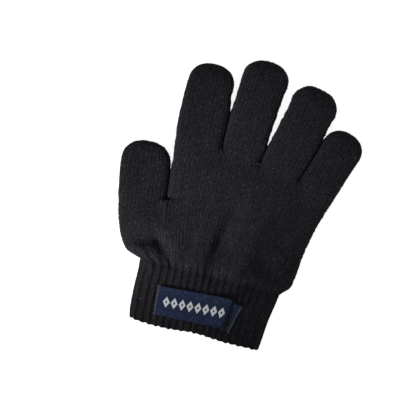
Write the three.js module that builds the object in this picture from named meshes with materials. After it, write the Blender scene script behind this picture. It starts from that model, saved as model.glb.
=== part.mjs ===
// A knitted grip glove for the right hand, lying palm down, in millimetres.
// +X runs towards the little finger, +Y towards the fingertips and +Z out of the back of the hand.
// The hand is one flat tube of jersey that divides into five finger stalls. It is gathered into a
// ribbed elastic cuff, which has a woven label sewn to its back by both ends.
import * as THREE from "three";
import { mergeVertices } from "three/addons/utils/BufferGeometryUtils.js";

// The tables measure from the middle of the cuff's lower edge. The part stands on this point.
const ORIGIN = { x: 0.5, y: 97.1 };

// Knit
const WALL = 2.2; // thickness of the jersey and of the rib
const GAP = 0.3; // between neighbouring pieces
const MID = 4.6; // height at which the back and the palm of the knit meet, along every edge
const SQUASH = 0.3; // how far the palm would bulge below the surface that it lies flat on

// Faces across one strip on its back and on its palm, and ribs across one strip
const STRIPS = 5;
const BACK_COLUMNS = 12;
const PALM_COLUMNS = 8;
const RIBS = 4;
const CROWDING = 0.6; // how much closer the columns stand at the glove's outer edges

// Section powers: 2 is an ellipse, and more is squarer
const BODY_POWER = { back: 2.6, palm: 4.5 };
const STALL_POWER = { back: 2.3, palm: 3 };

// Rows count up the hand: 0 at the cuff, 1 at the thumb's crotch and 2 at the fingers' crotches.
// Each strip runs from the cuff into its stall. A column of these tables is a strip's left edge,
// and side is the right edge of the last one.
const EDGES = ["thumb", "index", "middle", "ring", "little", "side"];
const ROW_Y = [
  { row: 0, thumb: 40, index: 40, middle: 40, ring: 40, little: 40, side: 40 },
  { row: 1, thumb: 80, index: 85, middle: 85, ring: 85, little: 85, side: 85 },
  { row: 2, index: 130, middle: 129, ring: 126, little: 121, side: 114 },
];
const ROW_X = [
  { row: 0, thumb: -49.6, index: -29.4, middle: -9.2, ring: 10.9, little: 31.1, side: 51.3 },
  { row: 0.06, thumb: -58.2, index: -30.8, middle: -9.8, ring: 10.9, little: 31.6, side: 53.5 },
  { row: 0.15, thumb: -62.7, index: -32.5, middle: -10.7, ring: 10.8, little: 32.3, side: 57.2 },
  { row: 0.28, thumb: -66.2, index: -34.6, middle: -11.6, ring: 10.8, little: 33.2, side: 58.6 },
  { row: 0.45, thumb: -69.6, index: -37, middle: -12.6, ring: 10.9, little: 34.1, side: 59.4 },
  { row: 0.7, thumb: -72.8, index: -40.2, middle: -13.8, ring: 11.2, little: 35.3, side: 60.5 },
  { row: 1, thumb: -76, index: -42.3, middle: -14.8, ring: 11.8, little: 37.3, side: 62.6 },
  { row: 1.35, index: -43.7, middle: -14.8, ring: 12.4, little: 39.3, side: 65.5 },
  { row: 1.7, index: -45.8, middle: -14.4, ring: 13, little: 41.4, side: 68.2 },
  { row: 2, index: -47.5, middle: -14, ring: 13.6, little: 43.4, side: 70.7 },
];
const CROWN = [ // height of the back of the hand
  { row: 0, height: 13 },
  { row: 0.15, height: 14.6 },
  { row: 0.4, height: 15 },
  { row: 1, height: 13.8 },
  { row: 2, height: 11.4 },
];
const WEB = 0.06; // rows of solid web below a crotch, where the hollow divides
const CROTCH_REACH = 0.34; // rows over which back and palm round down into a crotch

// The stalls above their crotch: centre, half width and clockwise tilt in degrees of each section.
// The last section is where the rounded tip begins, and tip is its length.
const STALLS = [
  {
    crotchRow: 1, crown: 11, tip: 14.4, // thumb
    sections: [
      { x: -60.4, y: 90, half: 17.3, tilt: -8 },
      { x: -61.8, y: 98, half: 17.5, tilt: -7 },
      { x: -63.3, y: 106.4, half: 17.2, tilt: -4 },
    ],
  },
  {
    crotchRow: 2, crown: 10.8, tip: 14.6, // index finger
    sections: [
      { x: -31.5, y: 135, half: 16.8, tilt: -0.5 },
      { x: -32, y: 142, half: 17, tilt: -1 },
      { x: -32.4, y: 154, half: 17.05, tilt: -1.5 },
      { x: -32.8, y: 160, half: 16.8, tilt: -1.5 },
      { x: -33.4, y: 165, half: 16.2, tilt: -2 },
      { x: -33.2, y: 170.2, half: 16.1, tilt: -2 },
    ],
  },
  {
    crotchRow: 2, crown: 10.8, tip: 14.9, // middle finger
    sections: [
      { x: 0.8, y: 134.5, half: 14.85, tilt: 3 },
      { x: 0.9, y: 142, half: 15.2, tilt: 2 },
      { x: 0.95, y: 152, half: 15.5, tilt: 2.5 },
      { x: 1.5, y: 160, half: 15.5, tilt: 3 },
      { x: 2.35, y: 176, half: 15.7, tilt: 2 },
      { x: 2.9, y: 181.4, half: 16.45, tilt: 1 },
    ],
  },
  {
    crotchRow: 2, crown: 10.8, tip: 13.8, // ring finger
    sections: [
      { x: 30.6, y: 129.2, half: 15.1, tilt: 11.5 },
      { x: 32.1, y: 136, half: 15.6, tilt: 12 },
      { x: 35.85, y: 151, half: 16, tilt: 12.5 },
      { x: 39.5, y: 168.6, half: 15.9, tilt: 12.5 },
      { x: 40.4, y: 173, half: 16.5, tilt: 12.5 },
    ],
  },
  {
    crotchRow: 2, crown: 10.2, tip: 13.5, // little finger
    sections: [
      { x: 59.6, y: 124, half: 13.75, tilt: 15.5 },
      { x: 61.3, y: 130, half: 13.75, tilt: 16.5 },
      { x: 65, y: 142, half: 13.95, tilt: 17 },
      { x: 67, y: 148.8, half: 14.35, tilt: 17 },
    ],
  },
];
const TIP_POWER = { plan: 2.25, side: 2.6 }; // how square a stall's tip is

// Folds of the slack jersey above the cuff, each a valley from one point to another. The wide one
// is the slack side below the little finger.
const FOLDS = [
  { fromX: 3, fromY: 84, toX: -3, toY: 48, width: 4.2, depth: 2.4 },
  { fromX: 8.5, fromY: 62, toX: 7, toY: 45, width: 2.8, depth: 1.1 },
  { fromX: 37, fromY: 68, toX: 25, toY: 49, width: 4.6, depth: 1.8 },
  { fromX: 50, fromY: 52, toX: 52, toY: 112, width: 14, depth: 2.6 },
  { fromX: -54, fromY: 51, toX: -41, toY: 54, width: 3.8, depth: 2.4 },
  { fromX: -41, fromY: 54, toX: -31, toY: 44, width: 3.6, depth: 2.2 },
  { fromX: -16, fromY: 72, toX: -20, toY: 48, width: 5, depth: 0.8 },
];
const FOLD_CLEAR = 5; // how far above the edges a fold reaches its full depth

// Cuff
const RIB_DEPTH = 1.2; // from crest to valley
const RIB_FADE = 0.2; // the ribs die away into the hand over these rows
const CUFF_TOP = 40;
const CUFF = [
  { y: 0, left: -46.3, right: 46.8, crown: 12 },
  { y: 6, left: -47.6, right: 47.5, crown: 12.2 },
  { y: 20, left: -48.6, right: 48.5, crown: 12.6 },
  { y: 33, left: -48.9, right: 50.4, crown: 12.9 },
  { y: CUFF_TOP, left: -49.6, right: 51.3, crown: 13 },
];
const LOWER_EDGE = [ // how the cuff's lower edge waves
  { x: -50, y: -0.3 },
  { x: -38, y: -2 },
  { x: -18, y: -1.8 },
  { x: 0, y: 0 },
  { x: 22, y: -0.9 },
  { x: 36, y: -0.7 },
  { x: 50, y: -0.6 },
];
const LOWER_EDGE_REACH = 12; // how far up the cuff that wave dies away

// Label: sections from its left end to its right one, each with a lower and an upper end. Lift is
// the height of its middle over the ribs. It stands up in a crest, turns under it and is sewn down.
const LABEL_THICK = 0.7;
const LABEL = [
  { lowX: -29.8, lowY: 5, lowLift: 0.7, highX: -31.8, highY: 25, highLift: 0.7 },
  { lowX: -18, lowY: 5.6, lowLift: 0.7, highX: -20, highY: 26, highLift: 0.7 },
  { lowX: -6, lowY: 6.2, lowLift: 0.7, highX: -7, highY: 27.1, highLift: 0.7 },
  { lowX: 6, lowY: 7, lowLift: 1.3, highX: 6, highY: 28.2, highLift: 0.9 },
  { lowX: 12.5, lowY: 7.6, lowLift: 2.5, highX: 13.2, highY: 28.6, highLift: 1.7 },
  { lowX: 16.6, lowY: 8, lowLift: 3.7, highX: 18, highY: 28.8, highLift: 2.4 },
  { lowX: 18.2, lowY: 8, lowLift: 3.6, highX: 19.6, highY: 28.6, highLift: 2.4 },
  { lowX: 18.8, lowY: 7.8, lowLift: 2.7, highX: 20.2, highY: 28.2, highLift: 1.9 },
  { lowX: 18.4, lowY: 7.5, lowLift: 1.6, highX: 20.3, highY: 27.8, highLift: 1.2 },
  { lowX: 18.6, lowY: 7.2, lowLift: 0.8, highX: 21, highY: 27.3, highLift: 0.8 },
  { lowX: 19.8, lowY: 6.8, lowLift: 0.7, highX: 22.4, highY: 27, highLift: 0.7 },
  { lowX: 22.8, lowY: 6, lowLift: 0.7, highX: 27.3, highY: 26, highLift: 0.7 },
];
const LABEL_COLUMNS = 4;

// Rows of faces up the hand, the stalls and the cuff
const BODY_ROWS = {
  outer: [0, 0.05, 0.11, 0.18, 0.27, 0.38, 0.52, 0.66, 0.83, 0.932, 0.983, 1],
  inner: [0, 0.12, 0.27, 0.5, 0.7, 0.86, 1 - WEB, 1],
};
const BODY_ROWS_ABOVE = {
  outer: [1, 1.2, 1.44, 1.66, 1.83, 1.932, 1.983, 2],
  inner: [1, 1.35, 1.65, 1.85, 2 - WEB, 2],
};
const STALL_ROWS = { outer: [0, 0.16, 0.36, 0.58, 0.8, 0.93, 1], inner: [0, 0.35, 0.75, 1] };
const TIP_ROWS = { outer: [0, 0.3, 0.55, 0.76, 0.9, 0.975, 1], inner: [0, 0.5, 0.85, 1] };
const CUFF_ROWS = { outer: [0, 7, 17, 28, CUFF_TOP - GAP], inner: [0, 20, CUFF_TOP - GAP] };

// Layers and sides of the knit
const OUTER = { name: "outer", inset: 0, web: 0 };
const INNER = { name: "inner", inset: WALL, web: WEB };
const BACK = { name: "back", columns: BACK_COLUMNS, palm: false };
const PALM = { name: "palm", columns: PALM_COLUMNS, palm: true };

const mix = THREE.MathUtils.lerp;
const smooth = (from, to, value) => THREE.MathUtils.smoothstep(value, from, to);

// A column of a table at any place along its key, on a smooth curve through its rows.
function along(table, key, column, place) {
  const rows = table.filter((row) => column in row);
  const last = rows.length - 1;
  const next = rows.findIndex((row) => row[key] > place);
  const i = next < 0 ? last - 1 : Math.max(next - 1, 0);
  const slopeAt = (n) => {
    const before = rows[Math.max(n - 1, 0)];
    const after = rows[Math.min(n + 1, last)];
    return (after[column] - before[column]) / (after[key] - before[key]);
  };
  const span = rows[i + 1][key] - rows[i][key];
  const rise = rows[i + 1][column] - rows[i][column];
  const t = THREE.MathUtils.clamp((place - rows[i][key]) / span, 0, 1);
  const start = slopeAt(i) * span - rise;
  const end = rise - slopeAt(i + 1) * span;
  return rows[i][column] + t * rise + t * (1 - t) * ((1 - t) * start + t * end);
}

// How far a rounded section still stands off its edge at a share from -1 to 1 of its half width.
const rounded = (share, power) => (1 - Math.min(1, Math.abs(share)) ** power) ** (1 / power);

// Height of a layer of the back or the palm. The palm is pressed flat on what it lies on.
function height(side, layer, crown, share, power) {
  const level = side.palm ? layer.inset : crown - layer.inset;
  if (!side.palm) return MID + (level - MID) * rounded(share, power.back);
  return Math.max(level, MID + (level - SQUASH - MID) * rounded(share, power.palm));
}

// Shares of a section's half width that lie evenly along its curve, worked out once for each size.
const SHARE_STEPS = 240;
const knownShares = new Map();
function evenShares(columns, half, rise, power) {
  const key = [columns, half.toFixed(3), rise.toFixed(3), power].join();
  if (knownShares.has(key)) return knownShares.get(key);
  const shares = [-1];
  const lengths = [0];
  for (let i = 1; i <= SHARE_STEPS; i++) {
    const cosine = Math.cos(Math.PI * (1 - i / SHARE_STEPS));
    const share = Math.sign(cosine) * Math.abs(cosine) ** (2 / power);
    const climb = rise * (rounded(share, power) - rounded(shares[i - 1], power));
    lengths.push(lengths[i - 1] + Math.hypot(half * (share - shares[i - 1]), climb));
    shares.push(share);
  }
  const even = [-1];
  for (let n = 1; n < columns; n++) {
    const wanted = (lengths[SHARE_STEPS] * n) / columns;
    const i = lengths.findIndex((length) => length >= wanted);
    even.push(mix(shares[i - 1], shares[i], (wanted - lengths[i - 1]) / (lengths[i] - lengths[i - 1])));
  }
  even.push(1);
  knownShares.set(key, even);
  return even;
}

// A stall's shares on one side and layer of its section.
function stallShares(side, layer, crown, half) {
  const level = side.palm ? layer.inset : crown - layer.inset;
  return evenShares(side.columns, half, Math.abs(level - MID), STALL_POWER[side.name]);
}

// A fraction across a strip, with the columns crowded towards the glove's outer edges.
function crowded(strip, fraction, thumbParted) {
  const left = strip === 0 ? CROWDING : strip === 1 ? CROWDING * thumbParted : 0;
  const right = strip === STRIPS - 1 ? CROWDING : 0;
  return fraction - left * fraction * (1 - fraction) ** 3 + right * (1 - fraction) * fraction ** 3;
}

function foldDepth(x, y) {
  let depth = 0;
  for (const fold of FOLDS) {
    const from = new THREE.Vector3(fold.fromX, fold.fromY, 0);
    const line = new THREE.Line3(from, new THREE.Vector3(fold.toX, fold.toY, 0));
    const here = new THREE.Vector3(x, y, 0);
    const off = line.closestPointToPoint(here, true, new THREE.Vector3()).distanceTo(here);
    depth += fold.depth * Math.exp(-((off / fold.width) ** 2));
  }
  return depth;
}

// Depth of the ribs' relief at a fraction across a strip, 0 on a crest.
const ribDepth = (fraction) => (RIB_DEPTH / 2) * (1 - Math.cos(2 * Math.PI * RIBS * fraction));

// How far a strip has closed into a stall of its own: round at the crotch, and even elsewhere.
function closing(row, crotchRow, layer) {
  const start = crotchRow - layer.web - CROTCH_REACH;
  const into = THREE.MathUtils.clamp((row - start) / CROTCH_REACH, 0, 1);
  return { round: 1 - Math.sqrt(1 - into ** 2), even: smooth(0, 1, into) };
}

// Where an edge lies in plan at a row.
function edgeAt(edge, row) {
  return new THREE.Vector2(along(ROW_X, "row", EDGES[edge], row), along(ROW_Y, "row", EDGES[edge], row));
}

// A strip's left and right ends on a layer. An edge that is shared inside the hand has no wall.
function stripEnds(layer, strip, row) {
  const left = edgeAt(strip, row);
  const right = edgeAt(strip + 1, row);
  const wallAt = (edge) => {
    if (edge === 0 || edge === STRIPS) return layer.inset;
    const crotchRow = edge === 1 ? 1 : 2;
    return layer.inset * smooth(crotchRow - WEB, crotchRow, row);
  };
  const across = right.clone().sub(left).normalize();
  left.addScaledVector(across, wallAt(strip));
  right.addScaledVector(across, -wallAt(strip + 1));
  return { left, right };
}

// A point of the hand from the cuff up to the strip's crotch row.
function bodyPoint(side, layer, strip, row, column) {
  const stall = STALLS[strip];
  const { left, right } = stripEnds(layer, strip, row);
  const thumb = closing(row, 1, layer);
  const fingers = closing(row, 2, layer);
  const own = strip === 0 ? thumb : fingers;

  const body = 2 * crowded(strip, column / side.columns, thumb.even) - 1;
  const even = stallShares(side, layer, stall.crown, left.distanceTo(right) / 2);
  const share = mix(body, even[column], own.even);
  const place = left.clone().lerp(right, (share + 1) / 2);

  const crown = along(CROWN, "row", "height", row);
  const across = (firstStrip) => {
    const from = stripEnds(layer, firstStrip, row).left.x;
    const to = stripEnds(layer, STRIPS - 1, row).right.x;
    return height(side, layer, crown, (2 * (place.x - from)) / (to - from) - 1, BODY_POWER);
  };
  const settled = (close, nearCrotch) => mix(close.even, close.round, nearCrotch ** 4);
  const nearThumb = strip === 1 ? (1 - share) / 2 : 0;
  let z = row < 1 ? across(0) : 0;
  if (strip > 0) z = mix(z, across(1), settled(thumb, nearThumb));
  z = mix(z, height(side, layer, stall.crown, share, STALL_POWER), settled(own, share));
  const folds = foldDepth(place.x, place.y) * smooth(MID, MID + FOLD_CLEAR, z) * (1 - own.even);
  if (!side.palm) z -= folds;
  const ribs = layer === OUTER ? ribDepth(column / side.columns) * (1 - smooth(0, RIB_FADE, row)) : 0;
  return new THREE.Vector3(place.x, place.y, z + (side.palm ? ribs : -ribs));
}

// A stall's sections from its crotch row up, with the distance run to each.
function stallSections(strip) {
  const { left, right } = stripEnds(OUTER, strip, STALLS[strip].crotchRow);
  const sections = [
    {
      x: (left.x + right.x) / 2,
      y: (left.y + right.y) / 2,
      half: left.distanceTo(right) / 2,
      tilt: THREE.MathUtils.radToDeg(Math.atan2(left.y - right.y, right.x - left.x)),
      run: 0,
    },
  ];
  for (const section of STALLS[strip].sections) {
    const previous = sections.at(-1);
    const step = Math.hypot(section.x - previous.x, section.y - previous.y);
    sections.push({ ...section, run: previous.run + step });
  }
  return sections;
}

// A point of a stall: straight is a share of its sections' run, and tip one of its rounded end.
function stallPoint(side, layer, strip, straight, tip, column) {
  const stall = STALLS[strip];
  const sections = stallSections(strip);
  const read = (name) => along(sections, "run", name, straight * sections.at(-1).run);
  const half = read("half") - layer.inset;
  const tilt = THREE.MathUtils.degToRad(read("tilt"));
  const share = stallShares(side, layer, stall.crown, half)[column];
  const z = height(side, layer, stall.crown, share, STALL_POWER);
  const sideways = share * half * rounded(tip, TIP_POWER.plan);
  const onward = tip * (stall.tip - layer.inset);
  return new THREE.Vector3(
    read("x") + sideways * Math.cos(tilt) + onward * Math.sin(tilt),
    read("y") - sideways * Math.sin(tilt) + onward * Math.cos(tilt),
    MID + (z - MID) * rounded(tip, TIP_POWER.side),
  );
}

// The left and right ends of the cuff's section at a height up it.
function cuffEnds(layer, y) {
  return [along(CUFF, "y", "left", y) + layer.inset, along(CUFF, "y", "right", y) - layer.inset];
}

// The height of the cuff's crests at a place in plan.
function cuffHeight(side, layer, x, y) {
  const [left, right] = cuffEnds(layer, y);
  const crown = along(CUFF, "y", "crown", y);
  return height(side, layer, crown, (2 * (x - left)) / (right - left) - 1, BODY_POWER);
}

// A point of the cuff.
function cuffPoint(side, layer, strip, y, column) {
  const [left, right] = cuffEnds(layer, y);
  const x = mix(left, right, (strip + crowded(strip, column / side.columns, 0)) / STRIPS);
  const ribs = layer === OUTER ? ribDepth(column / side.columns) : 0;
  const lower = along(LOWER_EDGE, "x", "y", x) * (1 - smooth(0, LOWER_EDGE_REACH, y));
  return new THREE.Vector3(x, y + lower, cuffHeight(side, layer, x, y) + (side.palm ? ribs : -ribs));
}

// A skin gathers quads, and its corners are merged when it becomes a geometry.
const MERGE_DISTANCE = 1e-3;
class Skin {
  corners = [];

  quad(a, b, c, d, turned) {
    this.corners.push(...(turned ? [a, d, c, a, c, b] : [a, b, c, a, c, d]));
  }

  // Faces between two lines of points.
  band(first, second, columns, turned) {
    for (let c = 0; c < columns; c++) {
      this.quad(first(c), first(c + 1), second(c + 1), second(c), turned);
    }
  }

  // Faces over a grid of points, band after band.
  sheet(point, rows, columns, turned) {
    for (let r = 0; r + 1 < rows.length; r++) {
      this.band((c) => point(rows[r], c), (c) => point(rows[r + 1], c), columns, turned);
    }
  }

  geometry() {
    const merged = mergeVertices(new THREE.BufferGeometry().setFromPoints(this.corners), MERGE_DISTANCE);
    const kept = [];
    for (let i = 0; i < merged.index.count; i += 3) {
      const [a, b, c] = merged.index.array.slice(i, i + 3);
      if (a !== b && b !== c && c !== a) kept.push(a, b, c);
    }
    merged.setIndex(kept);
    merged.computeVertexNormals();
    return merged;
  }
}

// Calls a function for each strip, side and layer of the knit. The inner layer faces inwards.
function forEachLayer(build) {
  for (let strip = 0; strip < STRIPS; strip++) {
    for (const side of [BACK, PALM]) {
      build(strip, side, OUTER, side.palm);
      build(strip, side, INNER, !side.palm);
    }
  }
}

// Closes the wall between the layers at an open end, which faces down the hand or up it.
function addRim(skin, point, faces) {
  for (let strip = 0; strip < STRIPS; strip++) {
    for (const side of [BACK, PALM]) {
      const line = (layer) => (column) => point(side, layer, strip, column);
      skin.band(line(INNER), line(OUTER), side.columns, side.palm === (faces === "down"));
    }
  }
}

function handGeometry() {
  const skin = new Skin();
  forEachLayer((strip, side, layer, turned) => {
    const body = (row, column) => bodyPoint(side, layer, strip, row, column);
    const stall = (share, column) => stallPoint(side, layer, strip, share, 0, column);
    const tip = (share, column) => stallPoint(side, layer, strip, 1, share, column);
    skin.sheet(body, BODY_ROWS[layer.name], side.columns, turned);
    if (STALLS[strip].crotchRow > 1) {
      skin.sheet(body, BODY_ROWS_ABOVE[layer.name], side.columns, turned);
    }
    skin.sheet(stall, STALL_ROWS[layer.name], side.columns, turned);
    skin.sheet(tip, TIP_ROWS[layer.name], side.columns, turned);
  });
  addRim(skin, (side, layer, strip, column) => bodyPoint(side, layer, strip, 0, column), "down");
  return skin.geometry();
}

function cuffGeometry() {
  const skin = new Skin();
  forEachLayer((strip, side, layer, turned) => {
    const point = (y, column) => cuffPoint(side, layer, strip, y, column);
    skin.sheet(point, CUFF_ROWS[layer.name], side.columns, turned);
  });
  const end = (y) => (side, layer, strip, column) => cuffPoint(side, layer, strip, y, column);
  addRim(skin, end(0), "down");
  addRim(skin, end(CUFF_TOP - GAP), "up");
  return skin.geometry();
}

function labelGeometry() {
  const line = (column) =>
    LABEL.map((section) => {
      const across = column / LABEL_COLUMNS;
      const x = mix(section.lowX, section.highX, across);
      const y = mix(section.lowY, section.highY, across);
      const lift = mix(section.lowLift, section.highLift, across);
      return new THREE.Vector3(x, y, cuffHeight(BACK, OUTER, x, y) + lift);
    });
  const last = LABEL.length - 1;
  const face = (offset) => (column, i) => {
    const points = line(column);
    const ahead = points[Math.min(i + 1, last)].clone().sub(points[Math.max(i - 1, 0)]);
    const normal = new THREE.Vector3(-ahead.z, 0, ahead.x).normalize();
    return points[i].addScaledVector(normal, offset);
  };
  const upper = face(LABEL_THICK / 2);
  const lower = face(-LABEL_THICK / 2);
  const columns = Array.from({ length: LABEL_COLUMNS + 1 }, (_, column) => column);
  const skin = new Skin();
  skin.sheet(upper, columns, last, false);
  skin.sheet(lower, columns, last, true);
  skin.band((i) => lower(0, i), (i) => upper(0, i), last, false);
  skin.band((i) => upper(LABEL_COLUMNS, i), (i) => lower(LABEL_COLUMNS, i), last, false);
  skin.band((c) => upper(c, 0), (c) => lower(c, 0), LABEL_COLUMNS, false);
  skin.band((c) => lower(c, last), (c) => upper(c, last), LABEL_COLUMNS, false);
  return skin.geometry();
}

// Colours and surfaces
const JERSEY = new THREE.MeshStandardMaterial({ color: 0x25252a, roughness: 0.95, metalness: 0 });
const RIB_KNIT = new THREE.MeshStandardMaterial({ color: 0x1f1f23, roughness: 0.95, metalness: 0 });
const WOVEN_TAPE = new THREE.MeshStandardMaterial({ color: 0x1f2743, roughness: 0.7, metalness: 0 });

const glove = new THREE.Group();
glove.position.set(-ORIGIN.x, -ORIGIN.y, 0);

function addPiece(name, geometry, material) {
  const mesh = new THREE.Mesh(geometry, material);
  mesh.name = name;
  glove.add(mesh);
}

addPiece("hand", handGeometry(), JERSEY);
addPiece("rib_cuff", cuffGeometry(), RIB_KNIT);
addPiece("label", labelGeometry(), WOVEN_TAPE);

export default glove;
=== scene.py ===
import math
from collections import namedtuple

import bpy
import numpy as np
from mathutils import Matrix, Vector
from mathutils.bvhtree import BVHTree


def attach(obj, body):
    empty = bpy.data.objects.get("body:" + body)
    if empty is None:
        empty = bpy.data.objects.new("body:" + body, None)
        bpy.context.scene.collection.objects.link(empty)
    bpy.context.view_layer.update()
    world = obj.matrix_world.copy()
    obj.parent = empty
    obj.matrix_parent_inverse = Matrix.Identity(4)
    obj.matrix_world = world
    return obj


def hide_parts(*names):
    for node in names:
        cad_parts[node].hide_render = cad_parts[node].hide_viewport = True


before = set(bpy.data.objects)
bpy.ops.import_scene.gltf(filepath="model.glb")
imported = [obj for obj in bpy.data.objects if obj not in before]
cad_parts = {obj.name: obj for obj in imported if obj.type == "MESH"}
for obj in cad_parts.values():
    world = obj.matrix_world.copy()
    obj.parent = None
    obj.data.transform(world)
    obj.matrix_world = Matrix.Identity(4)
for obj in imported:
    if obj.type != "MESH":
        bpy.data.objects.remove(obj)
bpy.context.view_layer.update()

MM = 0.001
ORIGIN = np.array([0.5, 97.1, 0.0])  # the frame's origin in the tables' own sizes
RANDOM = np.random.default_rng(11)


def table(columns, rows):
    """A table with named columns, as one array a column. A missing value is left out."""
    found = {}
    for i, name in enumerate(columns.split()):
        kept = [(row[0], row[i]) for row in rows if row[i] is not None]
        found[name] = (np.array([k for k, _ in kept], float), np.array([v for _, v in kept], float))
    return found


def along(source, column, place):
    """A column of a table at any place along its first one, on a smooth curve through its rows."""
    keys, values = source[column]
    place = np.asarray(place, float)
    last = len(keys) - 1
    before = np.maximum(np.arange(last + 1) - 1, 0)
    after = np.minimum(np.arange(last + 1) + 1, last)
    slopes = (values[after] - values[before]) / (keys[after] - keys[before])
    i = np.clip(np.searchsorted(keys, place, side="right") - 1, 0, last - 1)
    span = keys[i + 1] - keys[i]
    rise = values[i + 1] - values[i]
    t = np.clip((place - keys[i]) / span, 0, 1)
    start = slopes[i] * span - rise
    end = rise - slopes[i + 1] * span
    return values[i] + t * rise + t * (1 - t) * ((1 - t) * start + t * end)


# Knit
WALL = 2.2
MID = 4.6  # height at which the back and the palm meet along every edge
SQUASH = 0.3  # how far the palm would bulge below what it lies on
COURSE = 1.8  # the mesh's own step along the knit
STITCH_PITCH = 1.45  # from one row of stitches to the next
WALE_RELIEF = 0.16  # from groove to crest
WALE_POWER = 1.6  # the higher, the fuller the section of a wale
RELIEF_MEAN = 0.09  # taken off, so that the relief leaves the glove's size as it is
FUZZ = 0.04  # how far single stitches stray from their relief
DOT_HEIGHT = 0.55  # of the grip dots, which hold the palm off the surface
LIFT_REACH = 0.25  # rows of the hand over which the palm rises onto its dots
FLOOR_GAP = 0.02  # the least height of any point of the knit

# The five strips that run from the cuff into the stalls: thumb to little finger
STRIPS = 5
RIBS = 4  # across each side of a strip
CROWDING = 0.6  # how much closer the columns stand towards the glove's outer edges

# The higher the power of a section, the flatter its middle and the steeper its sides
BODY_POWER = {"back": 2.6, "palm": 4.5}
BESIDE_THUMB_POWER = {"back": 4.5, "palm": 4.5}
STALL_POWER = {"back": 4.0, "palm": 3.0}

# Rows count up the hand: 0 at the cuff, 1 at the thumb's crotch and 2 at the fingers' crotches
EDGES = ["thumb", "index", "middle", "ring", "little", "side"]
ROW_Y = table("row thumb index middle ring little side", [
    (0, 40, 40, 40, 40, 40, 40),
    (1, 80, 85, 85, 85, 85, 85),
    (2, None, 130, 129, 126, 121, 114),
])
ROW_X = table("row thumb index middle ring little side", [
    (0, -49.6, -29.4, -9.2, 10.9, 31.1, 51.3),
    (0.06, -58.2, -30.8, -9.8, 10.9, 31.6, 53.5),
    (0.15, -62.7, -32.5, -10.7, 10.8, 32.3, 57.2),
    (0.28, -66.2, -34.6, -11.6, 10.8, 33.2, 58.6),
    (0.45, -69.6, -37, -12.6, 10.9, 34.1, 59.4),
    (0.7, -72.8, -40.2, -13.8, 11.2, 35.3, 60.5),
    (1, -76, -42.3, -14.8, 11.8, 37.3, 62.6),
    (1.35, None, -43.7, -14.8, 12.4, 39.3, 65.5),
    (1.7, None, -45.8, -14.4, 13, 41.4, 68.2),
    (2, None, -47.5, -14, 13.6, 43.4, 70.7),
])
# Height of the back
CROWN = table("row height", [(0, 13), (0.15, 14.6), (0.4, 15), (1, 13.8), (2, 10.9)])
WALES = table("row thumb index middle ring little", [  # wales across each side of a strip
    (0, 8, 8, 8, 8, 8),
    (0.15, 12.4, 8.8, 8.7, 8.7, 9.2),
    (0.45, 13.8, 10, 9.6, 9.6, 10.2),
    (1, 15, 11.4, 10.9, 10.5, 10.5),
    (1.66, 15, 13, 11, 11.4, 11.5),
    (2, 15, 15, 14, 14, 13),
])
WEB = 0.06  # rows of knit without a hollow, below the crotch between two stalls
STALL_REACH = 0.4  # rows over which a strip closes evenly into its stall
CROTCH_REACH = {1: 0.07, 2: 0.12}  # rows over which it dips at the crotch in row 1 or 2

# The stalls above their crotch: centre x and y, half width and clockwise tilt of each section. The
# blunter a tip, the longer it stays at its full height.
STALLS = [
    {"name": "thumb", "crotch": 1, "crown": 11, "tip": 14.4, "blunt": 4.5, "sections": [
        (-60.4, 90, 17.3, -8),
        (-61.8, 98, 17.5, -7),
        (-63.3, 106.4, 17.2, -4),
    ]},
    {"name": "index", "crotch": 2, "crown": 10.8, "tip": 14.6, "blunt": 2.6, "sections": [
        (-31.5, 135, 16.8, -0.5),
        (-32, 142, 17, -1),
        (-32.4, 154, 17.05, -1.5),
        (-32.8, 160, 16.8, -1.5),
        (-33.4, 165, 16.2, -2),
        (-33.2, 170.2, 16.1, -2),
    ]},
    {"name": "middle", "crotch": 2, "crown": 10.8, "tip": 14.9, "blunt": 2.6, "sections": [
        (0.8, 134.5, 14.85, 3),
        (0.9, 142, 15.2, 2),
        (0.95, 152, 15.5, 2.5),
        (1.5, 160, 15.5, 3),
        (2.35, 176, 15.7, 2),
        (2.9, 181.4, 16.45, 1),
    ]},
    {"name": "ring", "crotch": 2, "crown": 10.8, "tip": 13.8, "blunt": 2.6, "sections": [
        (30.6, 129.2, 15.1, 11.5),
        (32.1, 136, 15.6, 12),
        (35.85, 151, 16, 12.5),
        (39.5, 168.6, 15.9, 12.5),
        (40.4, 173, 16.5, 12.5),
    ]},
    {"name": "little", "crotch": 2, "crown": 10.5, "tip": 13.5, "blunt": 2.6, "sections": [
        (59.6, 124, 13.75, 15.5),
        (61.3, 130, 13.75, 16.5),
        (65, 142, 13.95, 17),
        (67, 148.8, 14.35, 17),
    ]},
]
TIP_POWER = 2.25  # of a tip's outline from above, where 2 is an ellipse
TIP_ARC = 1.15  # length of a tip's curve for each millimetre that it reaches

# Folds: x and y that each runs from and to, its width on either side of its line, its depth, which
# is less than 0 for a puff, and the share of the depth that is left at its end
FOLDS = [
    (5, 85, -0.5, 46, 4.6, 9.5, 5.2, 0.55),
    (41, 71, 28.5, 46, 5, 12, 4.6, 0.55),
    (28, 76, 18, 48, 5, 5, -1.5, 1),
    (52, 112, 50, 52, 14, 14, 3, 1),
    (-59, 51, -42, 55.5, 4.4, 5.4, 2, 1),
    (-28, 43, -41, 55.5, 5.4, 4.4, 2.2, 1),
    (-39, 53.5, -30, 45, 3.6, 4.6, 1.1, 1),
    (-61, 46, -51, 46.5, 3.6, 3.6, -1.1, 1),
    (-49, 45.5, -42, 38, 3.4, 3.4, -1.1, 1),
    (-16, 72, -20, 48, 5, 5, 0.8, 1),
]
FOLD_BEGUN = 0.35  # share of its depth that a fold starts with
FOLD_GROWN = 0.6  # share of its run after which it has its full depth
FOLD_WANES = 0.45  # share of its run after which it may run out
FOLD_CLEAR = 5  # how far above the edges a fold reaches its full depth

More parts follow.
